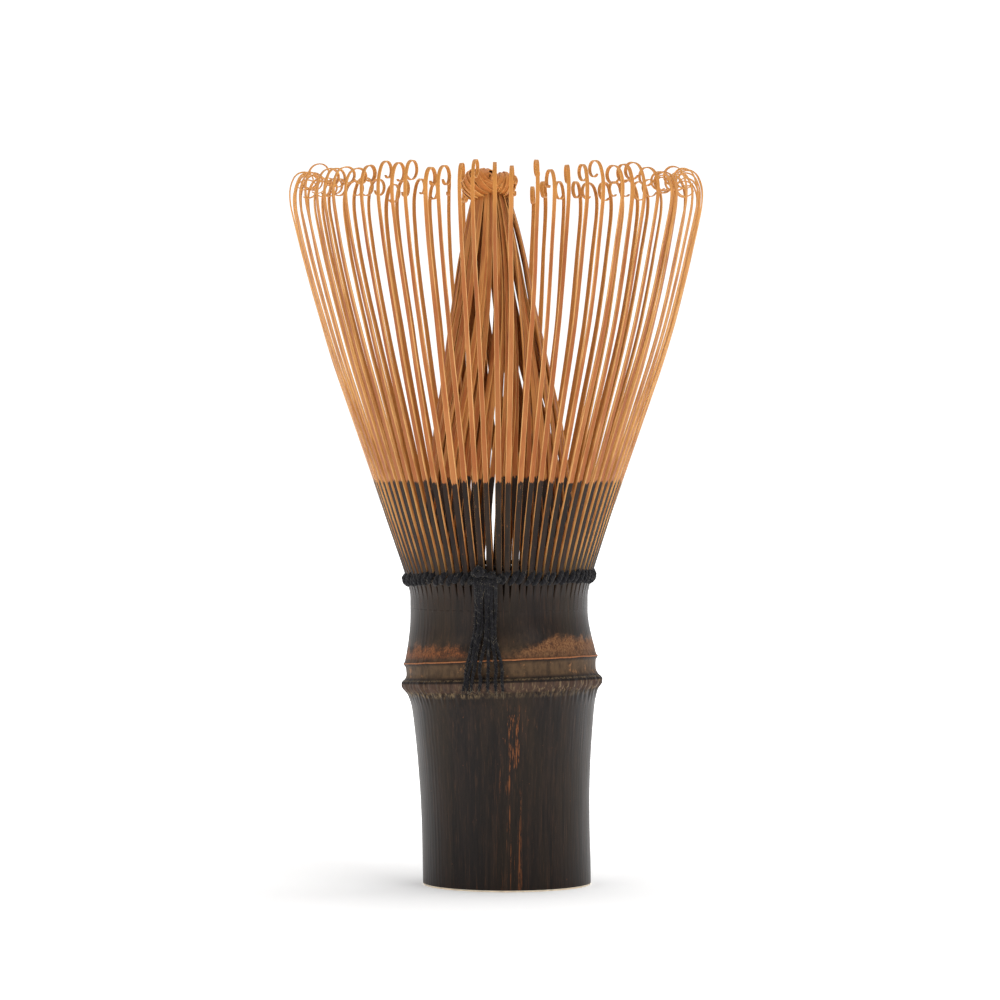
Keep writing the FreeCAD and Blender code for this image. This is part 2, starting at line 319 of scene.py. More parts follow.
class Shader:
    """The node tree of a material or of the world, with short calls for the nodes used here."""

    def __init__(self, owner, output):
        """owner is the new material or world, and output the kind of node that it ends in."""
        owner.use_nodes = True
        self.owner, self.tree = owner, owner.node_tree
        self.tree.nodes.clear()
        self.output = self.node(output)

    def put(self, socket, value):
        if isinstance(value, Value):
            value = value.socket
        if isinstance(value, bpy.types.NodeSocket):
            self.tree.links.new(value, socket)
        else:
            socket.default_value = value

    def node(self, kind, values=(), **settings):
        """A new node with these settings, and values or links for its first inputs."""
        made = self.tree.nodes.new("ShaderNode" + kind)
        for name, setting in settings.items():
            setattr(made, name, setting)
        for socket, value in zip(made.inputs, values):
            self.put(socket, value)
        return made

    def fill(self, node, **values):
        """Puts values or links into a node's inputs by name."""
        for name, value in values.items():
            self.put(node.inputs[name.replace("_", " ")], value)
        return node

    def principled(self, **values):
        self.fill(self.bsdf, **values)

    def attribute(self, name):
        return self.node("Attribute", attribute_name=name).outputs["Vector"]

    def parts(self, vector):
        return [Value(self, part) for part in self.node("SeparateXYZ", [vector]).outputs]

    def scaled(self, vector, scale):
        return self.node("VectorMath", [vector, scale], operation="MULTIPLY").outputs[0]

    def math(self, operation, *values):
        return Value(self, self.node("Math", values, operation=operation).outputs[0])

    def noise(self, vector, scale, detail=3.0, rough=0.55):
        """Noise of a vector times scale, which has a factor for each direction."""
        places = self.scaled(vector, scale)
        made = self.fill(self.node("TexNoise"), Vector=places, Scale=1.0, Detail=detail, Roughness=rough)
        return Value(self, made.outputs["Fac"])

    def spots(self, vector, scale):
        made = self.fill(self.node("TexVoronoi"), Vector=vector, Scale=scale)
        return Value(self, made.outputs["Distance"])

    def step(self, value, low, high, to_low=0.0, to_high=1.0):
        """A smooth step of value, from to_low at low to to_high at high."""
        made = self.node("MapRange", [value, low, high, to_low, to_high], interpolation_type="SMOOTHSTEP")
        return Value(self, made.outputs[0])

    def band(self, value, low, full_low, full_high, high):
        """1 between full_low and full_high, and 0 below low and above high."""
        return self.step(value, low, full_low) * self.step(value, high, full_high)

    def mix(self, factor, a, b):
        """Colour a, or b where factor is 1."""
        made = self.node("Mix", data_type="RGBA")
        for k, value in ((0, factor), (6, a), (7, b)):
            self.put(made.inputs[k], value)
        return made.outputs[2]

    def bump(self, height, distance, strength=1.0, normal=None):
        made = self.fill(self.node("Bump"), Height=height, Distance=distance * MM, Strength=strength)
        if normal is not None:
            self.fill(made, Normal=normal)
        return made.outputs[0]


def new_material(name):
    s = Shader(bpy.data.materials.new(name), "OutputMaterial")
    s.bsdf = s.node("BsdfPrincipled")
    s.put(s.output.inputs[0], s.bsdf.outputs[0])
    return s


def smoked_skin(s, uncut):
    """The culm's dark smoked outside. Returns its colour, roughness and bump for places in mm."""
    x, y, z = s.parts(uncut)
    over_lower = z - LOWER_RING
    sway = s.noise(uncut, (0.3, 0.3, 0.0), 3.0)
    over_upper = sway * 0.3 + z - (UPPER_RING + 0.15)
    streaks = s.noise(uncut, (0.9, 0.9, 0.035), 6.0, 0.68)
    broad = s.noise(uncut, (0.16, 0.16, 0.03), 3.0)
    fine = s.noise(uncut, (3.2, 3.2, 0.22), 4.0, 0.65)
    grit = s.noise(uncut, (4.0, 4.0, 2.6), 4.0, 0.7)
    colour = s.mix(s.step(streaks, 0.36, 0.66), SKIN_BLACK, SKIN_BROWN)
    colour = s.mix(s.step(broad, 0.44, 0.70, 0.0, 0.5), colour, SKIN_OLIVE)
    colour = s.mix(s.step(broad, 0.50, 0.34, 0.0, 0.5), colour, SKIN_DEEP)
    colour = s.mix(s.step(fine, 0.50, 0.72, 0.0, 0.28), colour, SKIN_FLECK)
    colour = s.mix(s.step(fine, 0.44, 0.28, 0.0, 0.5), colour, SKIN_DEEP)
    # broken orange stripes down the front
    stripe = s.noise(uncut, (2.1, 2.1, 0.03), 3.0, 0.6)
    broken = s.noise(uncut, (3.2, 3.2, 0.4), 4.0, 0.75)
    stripes = s.step(stripe, 0.53, 0.6) * s.step(broken, 0.44, 0.56)
    in_front = s.step(s.math("ABSOLUTE", x - STRIPE_X), 3.0, 0.6) * s.step(y, 2.0, -8.0)
    dense = stripes * in_front * s.step(over_lower, -2.5, -5.0)
    colour = s.mix(dense * 0.75, colour, SKIN_ORANGE)
    thin = s.step(fine, 0.62, 0.72) * s.step(broken, 0.56, 0.7, 0.0, 0.45)
    colour = s.mix(thin, colour, SKIN_RUST)
    # bare patches above the upper ring, thinning out upwards
    blotch = s.noise(uncut, (0.55, 0.55, 0.5), 6.0, 0.7)
    reach = s.step(x, -3.5, -6.0, 0.0, 1.9) + s.step(x, 0.5, 9.0, 0.3, 3.0)
    cover = (blotch - 0.5) * 5.0 + reach - over_upper
    just_over = s.step(over_upper, 0.05, 0.25)
    on_right = s.step(x, -2.0, 4.0)
    low_down = s.math("MAXIMUM", s.step(over_upper, 0.4, 1.3, 0.15, 1.0), on_right * 0.7)
    worn = just_over * s.step(cover, -0.8, 0.8) * s.step(blotch, 0.3, 0.6, 0.35, 0.95)
    worn = worn * low_down * s.step(grit, 0.3, 0.6, 0.45, 1.0)
    bare = s.mix(on_right, SKIN_BARE, SKIN_TAN)
    colour = s.mix(worn, colour, s.mix(s.step(grit, 0.35, 0.65), SKIN_RUST, bare))
    haze = s.step(over_upper, 5.0, 0.6, 0.0, 0.5) * just_over * s.step(blotch, 0.36, 0.66)
    colour = s.mix(haze, colour, SKIN_DUST)
    # the scar line on the upper ring
    line = s.band(over_upper, -0.13, -0.03, 0.05, 0.16)
    colour = s.mix(line * s.step(grit, 0.25, 0.55, 0.45, 0.95), colour, SKIN_LINE)
    # the groove between the rings
    groove = s.step(over_lower, 0.6, 1.2) * s.step(over_upper, -0.1, -0.7)
    drift = s.noise(uncut, (1.1, 1.1, 0.5), 6.0, 0.7)
    colour = s.mix(groove * s.step(drift, 0.34, 0.62, 0.35, 0.95), colour, SKIN_DUST)
    spot = groove * s.step(blotch, 0.58, 0.66, 0.0, 0.7)
    colour = s.mix(spot, colour, SKIN_TAN)
    # the lower ring: a dark crest with pale lips, and a dusty foot
    rings = s.noise(uncut, (2.6, 2.6, 0.25), 4.0, 0.65)
    roll = s.band(over_lower, -1.5, -1.1, -0.1, 0.12)
    colour = s.mix(roll * s.step(drift, 0.34, 0.6, 0.3, 0.85), colour, SKIN_ROLL)
    pale = roll * s.step(rings, 0.5, 0.64) * s.step(x, -1.0, 8.0, 0.25, 0.7)
    colour = s.mix(pale, colour, SKIN_WRINKLE)
    foot = s.band(over_lower, -2.3, -1.75, -1.4, -1.15)
    foot = foot * s.step(x, 0.0, -6.0, 0.3, 0.75)
    colour = s.mix(foot * s.step(rings, 0.42, 0.66), colour, SKIN_WRINKLE)
    crest = s.band(over_lower, -0.08, 0.04, 0.22, 0.38)
    colour = s.mix(crest * s.step(drift, 0.35, 0.6, 0.75, 0.25), colour, SKIN_DEEP)
    lip = s.band(over_lower, 0.28, 0.4, 0.5, 0.66)
    colour = s.mix(lip * s.step(rings, 0.42, 0.6, 0.0, 0.5), colour, SKIN_WRINKLE)
    # dust and nicks
    specks = s.step(s.spots(s.scaled(uncut, (1.0, 1.0, 0.5)), 1.3), 0.13, 0.07)
    specks = specks * s.step(blotch, 0.56, 0.6)
    colour = s.mix(specks * 0.6, colour, SKIN_RUST)
    node = s.step(over_lower, -3.0, -1.0) * s.step(over_upper, 4.5, 2.0)
    worn_rough = s.math("MAXIMUM", node, s.step(z, COLLAR_Z, COLLAR_Z + 6.0)) * 0.62
    rough = s.math("MAXIMUM", s.step(broad, 0.3, 0.75, 0.36, 0.5), worn_rough)
    bump = s.bump(streaks, 0.04, 0.6, s.bump(fine, 0.02, 0.6, s.bump(grit, 0.012, 0.5)))
    return colour, rough, bump


def culm_skin():
    s = new_material("smoked_culm_skin")
    colour, rough, bump = smoked_skin(s, s.attribute("uncut"))
    s.principled(Base_Color=colour, Roughness=rough, Specular_IOR_Level=BAMBOO_SHINE, Normal=bump)
    return s.owner


def split_bamboo(name, body, pale, dark, golden, rim, skin_top, golden_from):
    """Long fibres with a painted highlight, in the colour rim, along their edges. The skin is left on below
    skin_top, and it is golden over golden_from.
    """
    s = new_material(name)
    grain = s.attribute("grain")
    side, through, seed = s.parts(s.attribute("form"))
    uncut = s.attribute("uncut")
    height = s.parts(uncut)[2]
    fibres = s.noise(grain, (8.0, 8.0, 0.1), 4.0, 0.62)
    fine = s.noise(grain, (20.0, 20.0, 0.4), 2.0, 0.6)
    patches = s.noise(grain, (0.7, 0.7, 0.11), 3.0)
    colour = s.mix(s.step(fibres, 0.30, 0.60), dark, body)
    colour = s.mix(s.step(fine, 0.56, 0.74, 0.0, 0.6), colour, pale)
    colour = s.mix(s.step(patches, 0.38, 0.68, 0.0, 0.45), colour, pale)
    own_tone = s.math("FRACT", seed * 7.31)
    colour = s.mix(s.step(own_tone, 0.0, 1.0, 0.0, 0.5), colour, dark)
    # painted highlight: the pale rim colour along each strip's edges stands in for the light that the edges
    # catch
    painted_edge_highlight = s.step(s.math("ABSOLUTE", side), 0.76, 0.95, 0.0, 0.9)
    painted_edge_highlight = painted_edge_highlight * s.step(patches, 0.32, 0.55, 0.35, 1.0)
    colour = s.mix(painted_edge_highlight, colour, rim)
    gold = s.step(height, golden_from, golden_from + 9.0, 0.0, 0.6)
    inner_face = s.step(through, 0.4, -0.6, 0.0, 0.5)
    colour = s.mix(s.math("MAXIMUM", gold, inner_face), colour, golden)
    # painted shade: the wood darkens below 54 mm and is fully dark below 47.5 mm, standing in for the shade
    # in the narrow slits near the root
    painted_slit_shade = s.step(height, 54.0, 47.5) * s.step(fibres, 0.25, 0.6, 1.0, 0.75)
    colour = s.mix(painted_slit_shade, colour, srgb(44, 27, 18))
    # painted shade: wood below the thread is darkened, standing in for the shade under the wraps and in the
    # slits
    painted_shade_under_thread = s.step(height, THREAD_Z + 0.6, THREAD_Z - 0.6, 0.0, 0.85)
    colour = s.mix(painted_shade_under_thread, colour, srgb(28, 20, 16))
    # the skin, which ends unevenly where the shaving began
    skin_colour, skin_rough, _ = smoked_skin(s, uncut)
    ragged = s.noise(grain, (3.0, 0.0, 0.02), 2.0)
    cut_height = ragged * 1.7 + (skin_top - 0.85) + own_tone * 0.3
    below = s.step(height - cut_height, -0.08, 0.12, 1.0, 0.0)
    chips = s.step(s.noise(grain, (5.0, 5.0, 1.0), 3.0), 0.68, 0.74, 1.0, 0.2)
    on_face = s.step(through, 0.55, 0.8) * s.step(s.math("ABSOLUTE", side), 0.99, 0.93)
    root = s.step(height, COLLAR_Z + 1.2, COLLAR_Z - 0.2)
    on_face = s.math("MAXIMUM", on_face, root * s.step(through, 0.2, 0.6))
    skin = below * on_face * s.math("MAXIMUM", chips, root)
    colour = s.mix(skin, colour, skin_colour)
    rough = s.step(fibres, 0.2, 0.8, 0.42, 0.58)
    s.principled(Base_Color=colour, Roughness=(skin_rough - rough) * skin + rough)
    s.principled(Subsurface_Weight=0.05, Subsurface_Scale=0.0006, Specular_IOR_Level=BAMBOO_SHINE)
    s.principled(Subsurface_Radius=(1.0, 0.45, 0.2))
    s.principled(Normal=s.bump(fibres, 0.035, 0.7, s.bump(fine, 0.012, 0.5)))
    return s.owner


def cut_bamboo(name, tone, dots):
    """Bamboo cut across or bared inside: pale, darker towards the skin, with fibre bundles as dots."""
    s = new_material(name)
    uncut = s.attribute("uncut")
    x, y, _ = s.parts(uncut)
    off = x - BASE_OFFSET
    radius = s.math("SQRT", off * off + y * y)
    fibre = s.noise(uncut, (0.9, 0.9, 0.06), 4.0, 0.6)
    cloud = s.noise(uncut, (0.15, 0.15, 0.15), 3.0)
    colour = s.mix(s.step(fibre, 0.3, 0.7), [c * 0.72 for c in tone[:3]] + [1.0], tone)
    colour = s.mix(s.step(cloud, 0.35, 0.75, 0.0, 0.3), colour, srgb(190, 142, 98))
    if dots:
        bundle = s.spots(s.scaled(uncut, (1.0, 1.0, 0.02)), 1.15)
        size = s.step(radius, 9.6, 13.2, 0.12, 0.28)
        dot = s.step(bundle - size, 0.06, -0.04, 0.0, 0.75)
        colour = s.mix(dot * s.step(radius, 12.95, 12.8), colour, srgb(112, 66, 34))
    s.principled(Base_Color=colour, Roughness=s.step(cloud, 0.2, 0.8, 0.6, 0.82))
    s.principled(Normal=s.bump(fibre, 0.06, 0.7))
    return s.owner


def black_cotton():
    s = new_material("black_cotton")
    grain = s.attribute("grain")
    hairs = s.noise(grain, (9.0, 9.0, 2.5), 5.0, 0.72)
    lint = s.noise(grain, (2.2, 2.2, 0.9), 3.0)
    colour = s.mix(s.step(hairs, 0.35, 0.70), srgb(8, 8, 11), srgb(37, 36, 40))
    colour = s.mix(s.step(lint, 0.52, 0.70, 0.0, 0.65), colour, srgb(70, 67, 65))
    loose, _, seed = s.parts(s.attribute("form"))
    faded = loose * s.step(seed, 0.5, 1.0, 0.0, 0.9)
    colour = s.mix(faded, colour, srgb(150, 138, 116))
    s.principled(Base_Color=colour, Roughness=s.step(hairs, 0.2, 0.8, 0.85, 0.98))
    s.principled(Specular_IOR_Level=0.15, Sheen_Weight=0.08, Sheen_Roughness=0.5)
    s.principled(Normal=s.bump(hairs, 0.08, 0.9))
    return s.owner


SKIN_DEEP = srgb(16, 9, 8)
SKIN_BLACK = srgb(22, 16, 13)
SKIN_BROWN = srgb(40, 29, 23)
SKIN_OLIVE = srgb(48, 38, 27)
SKIN_FLECK = srgb(80, 54, 36)
SKIN_RUST = srgb(108, 64, 36)
SKIN_ORANGE = srgb(138, 80, 40)
SKIN_BARE = srgb(156, 90, 48)
SKIN_TAN = srgb(150, 104, 66)
SKIN_LINE = srgb(164, 104, 64)
SKIN_DUST = srgb(88, 67, 46)
SKIN_ROLL = srgb(78, 58, 47)
SKIN_WRINKLE = srgb(130, 109, 80)
STRIPE_X = 2.3  # where the orange stripes run down the front
BAMBOO_SHINE = 0.17
# rim is the colour of the painted highlight along each strip's edges
OUTER_WOOD = split_bamboo(
    "outer_tine_bamboo", body=srgb(160, 92, 46), pale=srgb(186, 128, 74), dark=srgb(136, 75, 36),
    golden=srgb(202, 140, 68), rim=srgb(224, 174, 112), skin_top=OUTER_SKIN_TOP, golden_from=100.0,
)
INNER_WOOD = split_bamboo(
    "inner_tine_bamboo", body=srgb(170, 97, 46), pale=srgb(214, 156, 88), dark=srgb(124, 66, 31),
    golden=srgb(178, 108, 50), rim=srgb(204, 148, 86), skin_top=INNER_SKIN_TOP, golden_from=104.0,
)
HEAD_WOOD = split_bamboo(
    "inner_tip_bamboo", body=srgb(176, 103, 46), pale=srgb(220, 160, 88), dark=srgb(150, 84, 38),
    golden=srgb(192, 120, 56), rim=srgb(224, 168, 98), skin_top=INNER_SKIN_TOP, golden_from=104.0,
)
CULM_SKIN = culm_skin()
CUT_END = cut_bamboo("cut_end", srgb(250, 236, 212), dots=True)
CULM_INSIDE = cut_bamboo("culm_inside", srgb(196, 152, 102), dots=False)
COTTON = black_cotton()


# ---- culm ----
def culm_radius(z):
    """The outline as a smooth curve through its points, which stays between them."""
    heights, radii = (np.array(v) for v in zip(*CULM_OUTLINE))
    slope = np.diff(radii) / np.diff(heights)
    tangent = np.zeros(len(heights))
    same = slope[1:] * slope[:-1] > 0
    mean = 2 * slope[1:] * slope[:-1] / np.where(same, slope[1:] + slope[:-1], 1)
    tangent[1:-1] = np.where(same, mean, 0)
    k = np.clip(np.searchsorted(heights, z, side="right") - 1, 0, len(heights) - 2)
    h = heights[k + 1] - heights[k]
    t = (z - heights[k]) / h
    rise = (3 - 2 * t) * t * t
    near = t * (1 - t) ** 2 * h * tangent[k]
    far = t * t * (t - 1) * h * tangent[k + 1]
    return radii[k] * (1 - rise) + radii[k + 1] * rise + near + far


def angular_waves(rng, angle, z, low, high, count):
    """Ripples round the culm that drift a little with height."""
    total = np.zeros(np.broadcast(angle, z).shape)
    for _ in range(count):
        n = rng.integers(low, high)
        total += rng.normal() * np.cos(n * angle + rng.uniform(0, 6.3) + rng.normal() * 0.25 * (z - 30))
    return total / math.sqrt(count)


def culm_point(angle, z, radius):
    """A place on the culm, and where it would be if its rings were level."""
    x, y = radius * np.cos(angle), radius * np.sin(angle)
    lift = lookup(SLANT_RIGHT, z) * x - lookup(SLANT_FRONT, z) * y
    level = np.stack([lookup(CULM_CENTRE, z) + x, y, z + 0 * x], -1)
    return level + np.stack([0 * x, 0 * x, lift], -1), level


def make_handle():
    rng = draws(0)
    cloth = Cloth("handle_culm")
    around = 384
    angle = -circle(around)[None, :]
    coarse = np.arange(0.6, 27.0, 0.6)
    fine = np.arange(27.0, 37.4, 0.13)
    upper = np.arange(37.4, WALL_TOP - 0.1, 0.5)
    z = np.concatenate([[0.26], coarse, fine, upper, [WALL_TOP - 0.05]])[:, None]
    radius = culm_radius(z) * np.ones_like(angle)
    radius += 0.05 * angular_waves(rng, angle, z * 0.1, 2, 5, 3) * smooth(0, 4, z) * smooth(COLLAR_Z, 38, z)
    over_lower, over_upper = z - LOWER_RING, z - UPPER_RING
    wrinkle_zone = smooth(-4.0, -0.7, over_lower) * smooth(0.7, -0.1, over_lower)
    radius += 0.09 * angular_waves(rng, angle, z, 55, 120, 14) * wrinkle_zone
    crest_zone = smooth(-0.4, 0.0, over_lower) * smooth(1.2, 0.3, over_lower)
    radius += 0.06 * angular_waves(rng, angle, z, 18, 70, 14) * crest_zone
    upper_zone = smooth(-1.0, 0.0, over_upper) * smooth(1.6, 0.2, over_upper)
    radius += 0.03 * angular_waves(rng, angle, z, 25, 140, 16) * upper_zone
    radius += 0.010 * angular_waves(rng, angle, z * 0.0, 60, 170, 18) * smooth(COLLAR_Z, 42, z)
    skin, skin_level = culm_point(angle, z, radius)
    chamfer, _ = culm_point(angle, np.zeros((1, 1)), culm_radius(np.zeros((1, 1))) - 0.10 + 0 * angle)
    rim, _ = culm_point(angle, np.full((1, 1), WALL_TOP), np.full((1, around), COLLAR_RADIUS - 0.15))

    def inside(heights, radii, offset):
        return np.stack([polar(r, angle[0], height) for height, r in zip(heights, radii)]) + (offset, 0, 0)

    closed_from, closed_to = DIAPHRAGM
    cup_z = np.append(np.linspace(WALL_TOP - 0.1, closed_to + 0.8, 12), [closed_to + 0.2, closed_to])
    cup_r = CUP_RADIUS + (WALL_TOP_RADIUS - CUP_RADIUS) * (cup_z - closed_to) / (COLLAR_Z - closed_to)
    cup_r[-1] -= 0.9
    floor_r = np.array([8.4, 6.4, 4.2, 2.0, 0.3])
    floor_z = closed_to - 0.25 * (1 - (floor_r / 9.0) ** 2)
    cup = inside(np.append(cup_z, floor_z), np.append(cup_r, floor_r), COLLAR_OFFSET)
    dome = BORE_TOP + np.array([0.9, 1.8, 2.5, 2.9])
    bore_z = np.concatenate([[0.0, 0.25], np.linspace(1.2, BORE_TOP, 14), dome, [closed_from]])
    bore_r = np.concatenate([[BORE_RADIUS + 0.2], np.full(15, BORE_RADIUS), [9.3, 8.3, 6.9, 4.6, 0.3]])
    bore = inside(bore_z, bore_r, BASE_OFFSET)
    bore[1:16, :, :2] += rng.normal(0, 0.02, (15, around, 2))

    rings = np.concatenate([bore[::-1], chamfer, skin, rim, cup])
    uncut = np.concatenate([bore[::-1], chamfer, skin_level, rim, cup])
    cloth.sweep(rings, rings, uncut=uncut)
    # which of its three materials each band of faces has, from the bore to the cup
    bands = [2] * (len(bore) - 1) + [1, 1] + [0] * len(skin) + [2] * len(cup)
    cloth.face_material = np.repeat(bands, around).tolist() + [2, 2]
    settle(cloth.make(CULM_SKIN, CUT_END, CULM_INSIDE), "handle")


# ---- outer tines ----
def chain_curve(chain, start_radius, start_height, spacing=0.05):
    """Radius, height, lean and run along a chain of (length, lean at the end in degrees)."""
    lengths, leans = np.array(chain).T
    ends = np.append(0, np.cumsum(lengths))
    leans = np.radians(np.append(0, leans))
    run = np.arange(0, ends[-1], spacing)
    lean = np.interp(run, ends, leans)
    radius = start_radius + np.concatenate([[0], np.cumsum(np.sin(lean))[:-1]]) * spacing
    height = start_height + np.concatenate([[0], np.cumsum(np.cos(lean))[:-1]]) * spacing
    return radius, height, lean, run


def stations(run, lean, height, every, turn):
    """Indices along a curve: one every so many mm, and one for every so many degrees of turn."""
    density = 1 / every + np.abs(np.gradient(lean, run)) / math.radians(turn)
    density += 2.2 * np.exp(-(((height - OUTER_SKIN_TOP) / 1.2) ** 2)) * (run < 30) + 4.0 * (run < 1.5)
    total = np.cumsum(density) * (run[1] - run[0])
    wanted = np.linspace(total[0], total[-1], int(total[-1]) + 1)
    return np.unique(np.searchsorted(total, wanted).clip(0, len(run) - 1))


def varied_chain(rng):
    """An outer tine's chain with hand-made differences in its flare, length and curl."""
    lengths, leans = np.array(OUTER_CHAIN).T
    leans[2:4] += rng.normal(0, 0.13)
    leans[4:6] += rng.normal(0, 0.3, 2)
    leans[6] += rng.normal(0, 1.2)
    shift = rng.normal(0, 1.0)
    lengths[3] += shift
    lengths[5] -= shift + rng.normal(0, 0.22)
    lengths[8] *= rng.uniform(0.75, 1.25)
    lengths[9] *= rng.uniform(0.92, 1.12)
    turned = rng.uniform(300, 345)
    lengths[10] *= rng.uniform(0.86, 1.10) * (turned - 100) / 250
    leans[10] = -turned
    return tuple(zip(lengths, leans))


# of each slit: how far it is to one side, as a share of the pitch, and its foot's height above the
# collar; the last slit is the first one again
ROOT_SHIFT = draws(1).normal(0, 0.055, TINES + 1)
SLIT_FOOT = draws(2).uniform(0.8, 2.5, TINES + 1)
for of_slits in (ROOT_SHIFT, SLIT_FOOT):
    of_slits[-1] = of_slits[0]


def tine_direction(number):
    """Direction of outer tine number round the axis; 0 is at the front."""
    return -math.pi / 2 + PITCH * number


def outer_tine(cloth, number, rng):
    radius, height, lean, run = chain_curve(varied_chain(rng), 0.0, ROOT_Z)
    picks = stations(run, lean, height, 1.5, 9.0)
    radius, height, lean, run = (v[picks] for v in (radius, height, lean, run))
    thick = lookup(OUTER_THICK, run) * (1 + rng.normal(0, 0.04) * smooth(8, 15, run)) / 2
    sunk = lookup(((0.0, 0.045), (0.4, 0.030), (3.0, 0.0)), run)
    radius = radius + COLLAR_RADIUS + 0.012 - thick[0] - sunk
    below_skin = smooth(OUTER_SKIN_TOP + 0.25, OUTER_SKIN_TOP - 0.1, height)
    thick = thick * (0.92 + 0.08 * below_skin)
    # spacing: even at the root, a little uneven in the crown
    low, high = ROOT_SHIFT[number], ROOT_SHIFT[number + 1]
    root_turn = (low + high) / 2 * PITCH
    crown_turn = rng.normal(0, 0.012) + root_turn * 0.3
    rise = smooth(4, 60, run)
    direction = tine_direction(number) + root_turn * (1 - rise) + crown_turn * rise
    direction = direction + 0.0022 * wander(rng, run, 3, 80.0) * smooth(6, 30, run)
    path = polar(radius, direction, height)
    path[:, 0] += lookup(CROWN_OFFSET, height)
    # the curl's plane is turned a little about the vertical through where it begins
    top = int(np.argmax(radius))
    turn = rng.normal(0, math.radians(5)) * smooth(run[top] - 4, run[top] + 3, run)
    turned = path[top] + rotate_z(path - path[top], turn)
    path = np.where((np.arange(len(run)) >= top)[:, None], turned, path)
    # the curl also walks sideways a little, so its end clears its start
    sideways = (rng.normal(0, 0.08) + rng.choice([-0.36, 0.36])) * smooth(run[top] + 0.5, run[-1] + 0.5, run)
    hint = rotate_z(polar(1.0, direction + math.pi / 2, 0.0), turn)
    path = path + hint * sideways[:, None]
    across, out = path_frame(path, hint)
    across, out = spin(across, out, rng.normal(0, 0.06) * rise + 0.04 * wander(rng, run, 2, 60.0) * rise)
    # width: the slits are closed at the root and open upwards from each slit's own foot
    share = rng.uniform(0.90, 1.10)
    half = lookup(OUTER_WIDTH, run) / 2 * (1 + (share - 1) * smooth(6, 16, run))
    half = half * (1 + 0.03 * wander(rng, run, 6, 60.0) * smooth(5, 12, run))
    closed = PITCH * COLLAR_RADIUS / 2 * (1 + high - low)
    sides = []
    for foot in SLIT_FOOT[number : number + 2]:
        over = height - COLLAR_Z - foot
        root = np.maximum(closed - np.maximum(0, over) * 0.055 - 0.03 * smooth(0, 0.3, over), 0.38)
        sides.append(root + (half - root) * smooth(4.5, 9.0, run))
    tip = 1 - 0.3 * smooth(run[-1] - 0.6, run[-1], run)
    seed = float(rng.uniform())
    sizes = (sides[0] * tip, sides[1] * tip, thick)
    corner = 0.02 + 0.26 * smooth(1.0, 3.5, run)

    def uncut(places, rings):
        angle = direction[:, None] + places[..., 0] / COLLAR_RADIUS
        depth = COLLAR_RADIUS - thick[:, None] + places[..., 1]
        return polar(depth, angle, rings[..., 2]) + (COLLAR_OFFSET, 0, 0)

    add_strip(cloth, path, across, out, sizes, run, seed, uncut, corner)


def make_outer_tines():
    rng = draws(3)
    for section in range(SECTIONS):
        cloth = Cloth(f"outer_tines_{section + 1:02d}_bamboo")
        for number in range(section * PER_SECTION, (section + 1) * PER_SECTION):
            outer_tine(cloth, number, rng)
        made = cloth.make(OUTER_WOOD)
        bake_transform(made)
        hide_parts(f"outer_tines_{section + 1:02d}")


# ---- inner tines ----
def clumps(rng):
    """Runs of neighbouring inner tines that cling together, and for each tine its run's middle."""
    middles, runs, start = np.zeros(TINES), [], 0
    while start < TINES:
        size = min(int(rng.integers(3, 7)), TINES - start)
        members = np.arange(start, start + size)
        middles[members] = members.mean()
        runs.append(members)
        start += size
    return middles, runs


def make_inner_tines():
    rng = draws(4)
    middles, runs = clumps(rng)
    twists = np.zeros(TINES)
    for members in runs:
        twists[members] = rng.normal(math.radians(31), math.radians(1.5))
    for section in range(SECTIONS):
        cloth = Cloth(f"inner_tines_{section + 1:02d}_bamboo")
        for number in range(section * PER_SECTION, (section + 1) * PER_SECTION):
            inner_tine(cloth, number, middles[number], twists[number], rng)
        settle(cloth.make(INNER_WOOD), f"inner_tines_{section + 1:02d}")


def inner_tine(cloth, number, middle, twist, rng):
    low_z, high_z = INNER_PATH[0][0], INNER_PATH[-1][0]
    height = np.unique(np.concatenate([np.linspace(low_z, 50, 12), np.linspace(50, high_z, 44)]))
    radius = lookup(INNER_PATH, height)
    radius[1:-1] = np.convolve(radius, [0.25, 0.5, 0.25], "valid")
    run = height - low_z
    depth = rng.choice([0.0, 0.35, 0.8, 1.3])
    radius = radius - depth * smooth(58, 96, height) - 0.06 - 0.10 * rng.uniform() * smooth(50, 60, height)
    radius += 0.12 * wander(rng, run, 3, 60.0) * smooth(50, 62, height) * smooth(108, 100, height)
    shift = (ROOT_SHIFT[(number + 1) % TINES] * PITCH) * smooth(60, 46, height)
    cling = (0.24 + rng.normal(0, 0.12)) * smooth(58, 92, height) * smooth(112, 96, height)
    pull = (middle - number) * PITCH * cling
    turn = twist * smooth(56, 108, height) + rng.normal(0, 0.03) * smooth(50, 64, height)
    direction = tine_direction(number + 0.5) + shift + pull + turn
    direction = direction + 0.012 * wander(rng, run, 3, 60.0) * smooth(48, 60, height)
    path = polar(radius, direction, height)
    path[:, 0] += lookup(INNER_CENTRE, height)
    hint = polar(1.0, direction + math.pi / 2, 0.0)
    across, out = path_frame(path, hint)
    tilt = rng.normal(0, 0.28) * smooth(50, 75, height)
    tilt = tilt + 0.12 * wander(rng, run, 2, 60.0) * smooth(52, 70, height)
    across, out = spin(across, out, tilt)
    half = lookup(INNER_WIDTH, run) / 2 * (1 + (rng.uniform(0.85, 1.15) - 1) * smooth(50, 58, height))
    thick = lookup(INNER_THICK, run) / 2

    def uncut(places, rings):
        angle = tine_direction(number + 0.5) + places[..., 0] / COLLAR_RADIUS
        depth = COLLAR_RADIUS - thick[:, None] + places[..., 1]
        return polar(depth, angle, rings[..., 2])

    add_strip(cloth, path, across, out, (half, half, thick), run, float(rng.uniform()), uncut)


